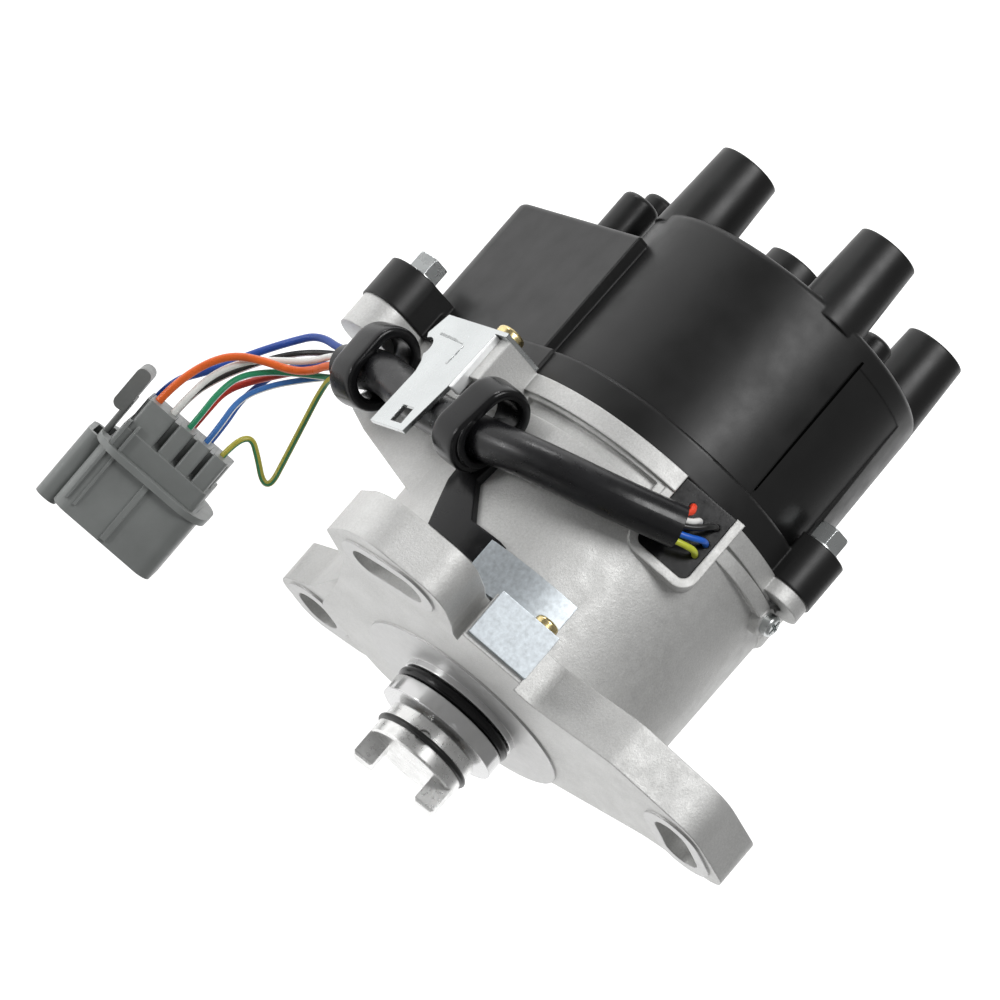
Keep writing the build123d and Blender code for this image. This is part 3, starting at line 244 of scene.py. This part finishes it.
def cast_aluminium():
    """Sand-cast skin, milled where the flange meets the engine and bright on the pilot."""
    material, tree, shader = start_material("cast_aluminium")
    place = object_place(tree)
    x, y, z = split(tree, place)
    radius = shaft_radius(tree, y, z)
    faced = maths(tree, "LESS_THAN", x, FLANGE_FACE_X)
    low_ear = maths(
        tree, "MULTIPLY", maths(tree, "LESS_THAN", x, LOW_EAR_FACE_X),
        maths(tree, "LESS_THAN", z, LOW_EAR_Z))
    machined = maths(tree, "MAXIMUM", faced, low_ear)
    pilot = maths(
        tree, "MULTIPLY", maths(tree, "LESS_THAN", x, PILOT_X),
        maths(tree, "LESS_THAN", radius, PILOT_RADIUS))
    cloud = noise_between(tree, place, 45, 5, 0, 1)
    tone = mix_colours(tree, cloud, (0.5, 0.5, 0.49), (0.6, 0.6, 0.59))
    speck = spread(tree, noise(tree, place, 1900, 3, 0.8), 0.35, 0.7, 0, 0.7)
    tone = mix_colours(tree, speck, tone, (0.7, 0.7, 0.69))
    tone = mix_colours(tree, machined, tone, (0.56, 0.56, 0.555))
    tone = mix_colours(tree, pilot, tone, (0.66, 0.66, 0.66))
    tree.links.new(tone, shader.inputs["Base Color"])
    dull = noise_between(tree, place, 300, 3, 0.46, 0.6)
    milled = noise_between(tree, place, 420, 4, 0.34, 0.48)
    bright = noise_between(tree, place, 500, 3, 0.1, 0.2)
    gloss = mix_values(tree, pilot, mix_values(tree, machined, dull, milled), bright)
    tree.links.new(gloss, shader.inputs["Roughness"])
    shader.inputs["Metallic"].default_value = 0.7
    off_pilot = maths(tree, "SUBTRACT", 1.0, pilot)
    turning = maths(tree, "MULTIPLY", maths(tree, "ADD", radius, x), 2 * pi / TURNING_PITCH)
    rings = maths(tree, "MULTIPLY", maths(tree, "SINE", turning), 0.1)
    rings = maths(tree, "MULTIPLY", maths(tree, "MULTIPLY", rings, machined), off_pilot)
    grain = maths(tree, "MULTIPLY", noise(tree, place, 1500, 5, 0.75), off_pilot)
    height = maths(tree, "ADD", grain, rings)
    normal = bump(tree, height, 0.6, 0.00016, rounded(tree, 0.0006))
    tree.links.new(normal, shader.inputs["Normal"])
    return material


def turned_metal(name, colour, roughness, pitch=0.0004, strength=0.25):
    """Metal with fine turning marks about the shaft."""
    material, tree, shader = start_material(name)
    place = object_place(tree)
    x, y, z = split(tree, place)
    wobble = maths(tree, "MULTIPLY", noise(tree, place, 200, 2), 0.0003)
    along = maths(tree, "ADD", maths(tree, "ADD", shaft_radius(tree, y, z), x), wobble)
    lines = maths(tree, "SINE", maths(tree, "MULTIPLY", along, 2 * pi / pitch))
    cloud = noise_between(tree, place, 250, 4, 0, 1)
    tone = mix_colours(tree, cloud, scale_colour(colour, 0.85), scale_colour(colour, 1.08))
    tree.links.new(tone, shader.inputs["Base Color"])
    gloss = noise_between(tree, place, 900, 3, roughness - 0.06, roughness + 0.08)
    tree.links.new(gloss, shader.inputs["Roughness"])
    shader.inputs["Metallic"].default_value = 1.0
    normal = bump(tree, lines, strength, 0.00003, rounded(tree, 0.0003))
    tree.links.new(normal, shader.inputs["Normal"])
    return material


palette = {
    "cast_aluminium": cast_aluminium(),
    "moulded_black": surface(
        "moulded_black", (0.007, 0.007, 0.007), 0.4, grain=(1400, 0.08, 0.0001), mottle=(40, 0.2),
        edge=0.0008, shine=0.38),
    "zinc_bright": surface(
        "zinc_bright", (0.58, 0.6, 0.6), 0.27, 1.0, grain=(700, 0.1, 0.0001), mottle=(90, 0.05),
        uneven=0.05),
    "zinc_yellow": surface(
        "zinc_yellow", (0.74, 0.6, 0.3), 0.26, 1.0, grain=(900, 0.2, 0.0001), mottle=(400, 0.3),
        uneven=0.08),
    "plain_steel": turned_metal("plain_steel", (0.8, 0.8, 0.79), 0.3),
    "bearing_steel": turned_metal("bearing_steel", (0.72, 0.72, 0.72), 0.16),
    "sintered_bronze": surface("sintered_bronze", (0.5, 0.34, 0.16), 0.45, 1.0),
    "laminated_iron": turned_metal(
        "laminated_iron", (0.24, 0.24, 0.25), 0.5, pitch=0.0008, strength=0.8),
    "contact_brass": surface("contact_brass", (0.74, 0.55, 0.25), 0.28, 1.0),
    "black_rubber": surface(
        "black_rubber", (0.006, 0.006, 0.0065), 0.22, grain=(900, 0.06, 0.0002), edge=0.0006,
        shine=0.3),
    "sleeve_black": surface(
        "sleeve_black", (0.008, 0.008, 0.009), 0.3, grain=(160, 0.12, 0.0004), mottle=(120, 0.2),
        shine=0.4),
    "bundle_black": surface("bundle_black", (0.014, 0.014, 0.014), 0.5),
    "inner_black": surface("inner_black", (0.02, 0.02, 0.02), 0.42),
    "rotor_brown": surface("rotor_brown", (0.12, 0.045, 0.028), 0.4),
    "carbon": surface("carbon", (0.035, 0.035, 0.038), 0.5),
    "connector_grey": surface(
        "connector_grey", (0.2, 0.21, 0.205), 0.42, grain=(1800, 0.25, 0.0001), mottle=(90, 0.1),
        wear=0.35),
    "latch_dark": surface("latch_dark", (0.15, 0.155, 0.15), 0.4, wear=0.3),
}
# Looks that differ from the usual one of their slot
spring_dark = surface("spring_dark", (0.012, 0.012, 0.012), 0.35)
# Paler, duller zinc for the bracket lip: its extra paleness is a painted highlight, not the
# plating's own colour
zinc_painted_highlight = surface(
    "zinc_painted_highlight", (0.88, 0.89, 0.89), 0.4, 0.35, grain=(700, 0.1, 0.0001), mottle=(90, 0.05))
zinc_spangle = surface(
    "zinc_spangle", (0.5, 0.54, 0.57), 0.34, 0.65, grain=(1100, 0.14, 0.0001), mottle=(900, 0.16),
    uneven=0.04)
# Near-black, dull material for the cap's seam line: painted shade of the seam's recess
seam_painted_shade = surface("seam_painted_shade", (0.0015, 0.0015, 0.0015), 0.9, shine=0.0)
OWN_LOOKS = {
    "housing_screw": palette["zinc_bright"],
    "coupling_ring_spring": spring_dark,
    "bracket_lower": zinc_spangle,
}
for part in frame["record"]["subparts"]:
    node = nodes[part["node"]]
    if part["material_slot"] in palette:
        node.data.materials.clear()
        node.data.materials.append(OWN_LOOKS.get(part["node"], palette[part["material_slot"]]))


# Wires: one smooth line each, with the route's own points
WIRES = {
    "blue": ("wire_blue", 2.0, (0.012, 0.06, 0.32), None, (
        (53.0, 54.1, -52.4), (52.1, 54.3, -59.3), (53.4, 56.2, -70.2), (48.6, 57.6, -76.2),
        (41.2, 59.7, -82.8), (31.7, 62.6, -87.9), (23.5, 67.49, -90.68), (17.21, 65.92, -93.32))),
    "black_white": ("wire_black_white", 1.6, (0.012, 0.012, 0.012), (0.7, 0.7, 0.68), (
        (53.7, 51.9, -52.5), (52.7, 52.1, -59.5), (49.7, 53.8, -71.2), (44.6, 56.6, -77.0),
        (37.8, 58.7, -82.5), (31.0, 61.0, -85.6), (23.5, 62.48, -87.7), (17.21, 60.91, -90.34))),
    "blue_thin": ("wire_blue_thin", 1.6, (0.02, 0.1, 0.42), None, (
        (52.2, 49.4, -52.4), (51.2, 49.6, -59.3), (47.3, 52.3, -71.9), (42.1, 53.6, -78.2),
        (31.6, 54.6, -81.6), (23.5, 53.0, -82.08), (17.21, 51.43, -84.71))),
    "red": ("wire_red", 1.8, (0.5, 0.03, 0.015), None, (
        (50.3, 52.2, -52.0), (49.3, 52.5, -59.0), (45.0, 52.9, -69.3), (40.2, 54.9, -74.6),
        (35.4, 56.5, -80.3), (29.8, 58.4, -83.6), (23.5, 57.77, -84.91), (17.21, 56.21, -87.55))),
    "white": ("wire_white", 1.7, (0.78, 0.78, 0.75), None, (
        (50.7, 55.6, -52.0), (49.7, 55.8, -58.9), (46.4, 55.0, -66.6), (42.5, 58.5, -71.3),
        (37.7, 62.9, -76.4), (29.4, 66.3, -79.6), (19.55, 66.7, -80.8), (13.26, 65.13, -83.44))),
    "orange": ("wire_orange", 2.0, (0.72, 0.12, 0.015), None, (
        (48.3, 54.9, -51.7), (47.4, 55.1, -58.6), (44.1, 54.6, -64.1), (41.1, 57.4, -67.7),
        (39.0, 62.2, -72.2), (35.6, 66.9, -76.9), (29.2, 69.5, -80.5), (19.55, 70.63, -83.13),
        (13.26, 69.06, -85.77))),
    "green_white": ("wire_green_white", 1.6, (0.02, 0.26, 0.12), (0.75, 0.75, 0.72), (
        (47.8, 49.9, -51.8), (46.9, 50.1, -58.7), (42.3, 54.4, -69.6), (38.6, 58.2, -73.6),
        (33.1, 61.8, -77.0), (26.5, 62.9, -77.3), (19.55, 62.04, -78.03), (13.26, 60.47, -80.67))),
    "blue_white": ("wire_blue_white", 1.6, (0.04, 0.16, 0.45), (0.78, 0.78, 0.76), (
        (50.0, 48.8, -52.1), (49.0, 49.0, -59.0), (42.4, 52.0, -69.2), (36.4, 55.6, -73.2),
        (29.0, 58.5, -75.5), (19.55, 57.4, -75.28), (13.26, 55.84, -77.92))),
    "yellow_green": ("wire_yellow_green", 1.6, (0.46, 0.42, 0.06), (0.05, 0.24, 0.1), (
        (46.9, 52.6, -51.6), (45.9, 52.8, -58.5), (42.2, 49.2, -64.0), (35.4, 46.2, -65.7),
        (24.9, 41.5, -68.5), (19.0, 39.4, -69.3), (18.1, 40.9, -70.8), (21.5, 45.9, -71.5),
        (24.2, 51.0, -71.9), (19.55, 53.13, -72.74), (13.26, 51.56, -75.38))),
}
WIRE_SIDES = 14
STRIPED_SIDES = (0, 1, 7, 8)
CURVE_STEPS = 14


def link_piece(name, mesh):
    piece = bpy.data.objects.new(name, mesh)
    bpy.context.scene.collection.objects.link(piece)
    return piece


def join_rings(shape, pairs, sides):
    """Smooth faces between rings of corners, each with the number of the side it is on."""
    made = []
    for first, second in pairs:
        for step in range(sides):
            after = (step + 1) % sides
            face = shape.faces.new((first[step], first[after], second[after], second[step]))
            face.smooth = True
            made.append((face, step))
    return made


def smooth_line(name, points):
    """The points along a smooth open line with these control points, in metres."""
    curve = bpy.data.curves.new(name, "CURVE")
    curve.dimensions = "3D"
    curve.resolution_u = CURVE_STEPS
    spline = curve.splines.new("NURBS")
    spline.points.add(len(points) - 1)
    for point, place in zip(spline.points, points):
        point.co = (*(Vector(place) * MM), 1)
    spline.order_u = 3
    spline.use_endpoint_u = True
    line = link_piece(name, curve)
    bpy.context.view_layer.update()
    mesh = bpy.data.meshes.new_from_object(line)
    places = [vertex.co.copy() for vertex in mesh.vertices]
    bpy.data.objects.remove(line)
    bpy.data.meshes.remove(mesh)
    return places


def tube(name, path, radius, materials, stripe=()):
    """A tube that follows a path, with some of its sides in a second material."""
    mesh = bpy.data.meshes.new(name)
    shape = bmesh.new()
    tangents = []
    for index in range(len(path)):
        before = path[max(0, index - 1)]
        after = path[min(len(path) - 1, index + 1)]
        tangents.append((after - before).normalized())
    side = tangents[0].orthogonal().normalized()
    rings = []
    for place, tangent in zip(path, tangents):
        side = (side - tangent * side.dot(tangent)).normalized()
        other = tangent.cross(side)
        ring = []
        for step in range(WIRE_SIDES):
            angle = 2 * pi * step / WIRE_SIDES
            ring.append(shape.verts.new(place + (side * cos(angle) + other * sin(angle)) * radius))
        rings.append(ring)
    for face, step in join_rings(shape, zip(rings, rings[1:]), WIRE_SIDES):
        face.material_index = 1 if step in stripe else 0
    shape.faces.new(list(reversed(rings[0])))
    shape.faces.new(rings[-1])
    bmesh.ops.recalc_face_normals(shape, faces=shape.faces)
    shape.to_mesh(mesh)
    shape.free()
    for material in materials:
        mesh.materials.append(material)
    return link_piece(name, mesh)


def vinyl(name, colour):
    return surface(name, colour, 0.32, grain=(900, 0.15, 0.0001), mottle=(300, 0.1), edge=0.0001)


for name, (node, diameter, colour, stripe_colour, points) in WIRES.items():
    line = smooth_line(name + "_line", points)
    materials = [vinyl("vinyl_" + name, colour)]
    if stripe_colour:
        materials.append(vinyl("stripe_" + name, stripe_colour))
    stripe = STRIPED_SIDES if stripe_colour else ()
    piece = tube(name + "_wire", line, diameter / 2 * MM, materials, stripe)
    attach(piece, "body")
    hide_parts(node)

# Leads from the sleeve to the grommet: each leaves the sleeve, turns and enters the grommet
LEAD_OFFSETS = (3.3, 1.65, 0.0, -1.65, -3.3)
LEAD_ENDS = ((62.4, 10.5), (60.6, 14.2), (62.3, 18.1), (57.6, 18.7), (53.9, 18.3))
LEAD_COLOURS = {
    "lead_red": (0.8, 0.06, 0.02),
    "lead_white": (0.82, 0.82, 0.8),
    "lead_black": (0.012, 0.012, 0.012),
    "lead_blue": (0.01, 0.12, 0.6),
    "lead_yellow": (0.6, 0.65, 0.05),
}
LEAD_RADIUS = 0.8
LEAD_IN_SLEEVE = 6.0
LEAD_STRAIGHT = 1.5
GROMMET_OUT = 47.6
GROMMET_IN = 41.1
SLEEVE_END = Vector((54.8, 16.3, 49.28))
SLEEVE_NEXT = Vector((49.5, 30.71, 42.58))
sleeve_out = (SLEEVE_END - SLEEVE_NEXT).normalized()
sleeve_side = (Vector((1, 0, 0)) - sleeve_out * sleeve_out.x).normalized()


def faced(x, out, side):
    """A point on the side of the housing that the window is on."""
    y = out * cos(FACE_TURN) - side * sin(FACE_TURN)
    z = out * sin(FACE_TURN) + side * cos(FACE_TURN)
    return Vector((x, y, z))


for (name, colour), offset, (x, side) in zip(LEAD_COLOURS.items(), LEAD_OFFSETS, LEAD_ENDS):
    start = SLEEVE_END + sleeve_side * offset
    points = (
        start - sleeve_out * LEAD_IN_SLEEVE, start + sleeve_out * LEAD_STRAIGHT,
        faced(x, GROMMET_OUT, side), faced(x, GROMMET_IN, side))
    line = smooth_line(name + "_line", points)
    piece = tube(name, line, LEAD_RADIUS * MM, [vinyl("vinyl_" + name, colour)])
    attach(piece, "body")
    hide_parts("grommet_leads")


# The rubber loops: full, rounded bands over the plain ones
BAND_WIDTH = 9.6
BAND_THICKNESS = 3.0
WIDE_SQUARENESS = 0.35
THICK_SQUARENESS = 0.5
BAND_SINK = 0.2
LOOP_GAP = 4.9
LOOP_RADIUS = LOOP_GAP + BAND_THICKNESS / 2 - BAND_SINK
LOOP_STEPS = 20
RIM_STEPS = 28


def power_of(value, exponent):
    return abs(value) ** exponent * (1 if value > 0 else -1)


def loop_path(half_straight, radius):
    """Places and outward directions round a slot-shaped loop, in its own plane."""
    stations = []
    for side, start in ((1, -90), (-1, 90)):
        for step in range(LOOP_STEPS + 1):
            angle = radians(start + 180 * step / LOOP_STEPS)
            outward = (cos(angle), sin(angle))
            along = side * half_straight + radius * outward[0]
            stations.append((along, radius * outward[1], outward))
    return stations


def band(name, middle, half_straight, turned_by, swung_by):
    """A closed band whose rounded section is wide along the sleeve and thin across it.

    It is turned about the shaft's direction, then swung about its own outward line.
    """
    high_axis = Vector((0, cos(turned_by), sin(turned_by)))
    level_axis = Vector((0, -sin(turned_by), cos(turned_by)))
    long_axis = Vector((1, 0, 0)) * cos(swung_by) + level_axis * sin(swung_by)
    wide_axis = level_axis * cos(swung_by) - Vector((1, 0, 0)) * sin(swung_by)
    mesh = bpy.data.meshes.new(name)
    shape = bmesh.new()
    rings = []
    for along, high, outward in loop_path(half_straight, LOOP_RADIUS):
        place = Vector(middle) + long_axis * along + high_axis * high
        out = long_axis * outward[0] + high_axis * outward[1]
        ring = []
        for step in range(RIM_STEPS):
            angle = 2 * pi * step / RIM_STEPS
            wide = power_of(cos(angle), WIDE_SQUARENESS) * BAND_WIDTH / 2
            thick = power_of(sin(angle), THICK_SQUARENESS) * BAND_THICKNESS / 2
            ring.append(shape.verts.new((place + wide_axis * wide + out * thick) * MM))
        rings.append(ring)
    join_rings(shape, zip(rings, rings[1:] + rings[:1]), RIM_STEPS)
    bmesh.ops.recalc_face_normals(shape, faces=shape.faces)
    shape.to_mesh(mesh)
    shape.free()
    mesh.materials.append(palette["black_rubber"])
    piece = link_piece(name, mesh)
    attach(piece, "body")


REAR_LOOP = (52.0, 52.1, -46.6)
FRONT_TURN = radians(9.9)
FRONT_SWING = radians(9)
FRONT_REACH = 52.4
FRONT_LOOP = (46.35, FRONT_REACH * cos(FRONT_TURN), FRONT_REACH * sin(FRONT_TURN))
band("rear_loop", REAR_LOOP, 3.8, 0.0, 0.0)
band("front_loop", FRONT_LOOP, 4.3, FRONT_TURN, FRONT_SWING)


# Details of the plated bracket and the cap
LIP_EASING = 0.3
LIP_LOW = (50.0, 55.2, -3.1)
LIP_HIGH = (66.8, 58.38, -1.6)
RIB_RADIUS = 0.5
RIB_POINTS = ((62.7, 58.1, -22.0), (62.0, 58.1, -11.0), (61.0, 58.1, -10.0), (55.4, 58.1, -10.7))
SEAM_RADIUS = 0.28
SEAM_POINTS = [(x, 1.75, 40.5) for x in (77.5, 90.0, 105.0, 118.5)]


def lip(name, low, high, material):
    """A small solid between two opposite corners, with eased edges, fixed to the body."""
    mesh = bpy.data.meshes.new(name)
    shape = bmesh.new()
    bmesh.ops.create_cube(shape, size=1)
    low = Vector(low) * MM
    high = Vector(high) * MM
    middle = (low + high) / 2
    size = high - low
    for vertex in shape.verts:
        vertex.co = Vector((middle[axis] + vertex.co[axis] * size[axis] for axis in range(3)))
    bmesh.ops.bevel(
        shape, geom=shape.edges[:], offset=LIP_EASING * MM, segments=3, profile=0.5, affect="EDGES")
    shape.to_mesh(mesh)
    shape.free()
    mesh.materials.append(material)
    piece = link_piece(name, mesh)
    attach(piece, "body")


def bead(name, points, radius, material):
    """A thin round line, mostly sunk in the face it lies on, fixed to the body."""
    piece = tube(name, [Vector(point) * MM for point in points], radius * MM, [material])
    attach(piece, "body")


# The cap's mould seam as a thin bead whose near-black colour is painted shade in the seam's recess
bead("cap_seam", SEAM_POINTS, SEAM_RADIUS, seam_painted_shade)
# The lip's pale zinc is a painted highlight
lip("bracket_lip", LIP_LOW, LIP_HIGH, zinc_painted_highlight)
bead("bracket_rib", RIB_POINTS, RIB_RADIUS, palette["zinc_bright"])


# Studio
PART_MIDDLE = Vector((0.05, 0.0, -0.01))


def camera_point(right, up, back):
    """A point measured from the part's middle along the camera's own directions."""
    return PART_MIDDLE + CAMERA_RIGHT * right + CAMERA_UP * up + CAMERA_BACK * back


def soft_light(name, place, size, power):
    data = bpy.data.lights.new(name, "AREA")
    data.shape = "DISK"
    data.size = size
    data.energy = power
    light = link_piece(name, data)
    light.location = place
    light.rotation_euler = (PART_MIDDLE - place).to_track_quat("-Z", "Y").to_euler()


soft_light("key", camera_point(0.75, 0.5, 0.95), 0.65, 10)
soft_light("left", camera_point(-0.95, 0.5, 0.45), 0.3, 4.5)
soft_light("top", camera_point(-0.1, 1.25, 0.05), 0.35, 6)


def rectangle(name, width, height, level):
    """A flat rectangle about the middle of its own plane."""
    mesh = bpy.data.meshes.new(name)
    right = width / 2
    top = height / 2
    corners = [
        (-right, -top, level), (right, -top, level), (right, top, level), (-right, top, level)]
    mesh.from_pydata(corners, [], [(0, 1, 2, 3)])
    return link_piece(name, mesh)


def dark_card(name, place, width, height):
    """A black card that the camera doesn't see, for shiny faces to mirror."""
    card = rectangle(name, width, height, 0)
    card.location = place
    card.rotation_euler = (-place).to_track_quat("-Z", "Y").to_euler()
    card.data.materials.append(surface(name, (0.01, 0.01, 0.01), 0.9))
    card.visible_camera = False


dark_card("card_low", camera_point(0.1, -0.9, 0.5), 0.6, 0.25)
dark_card("card_left", camera_point(-0.75, -0.15, 0.7), 0.25, 0.7)

world = bpy.data.worlds.new("studio")
bpy.context.scene.world = world
world.use_nodes = True
backdrop = world.node_tree.nodes["Background"]
backdrop.inputs["Color"].default_value = (1, 1, 1, 1)
backdrop.inputs["Strength"].default_value = 0.27
bpy.context.scene.view_settings.view_transform = "Standard"

FLOOR_WIDTH = 6
FLOOR_DEPTH = -0.19
floor = rectangle("floor", FLOOR_WIDTH, FLOOR_WIDTH, FLOOR_DEPTH)
paper, _, paper_shader = start_material("floor_white")
paper_shader.inputs["Base Color"].default_value = (0.5, 0.5, 0.5, 1)
paper_shader.inputs["Roughness"].default_value = 0.9
paper_shader.inputs["Emission Color"].default_value = (1, 1, 1, 1)
paper_shader.inputs["Emission Strength"].default_value = 1.0
floor.data.materials.append(paper)
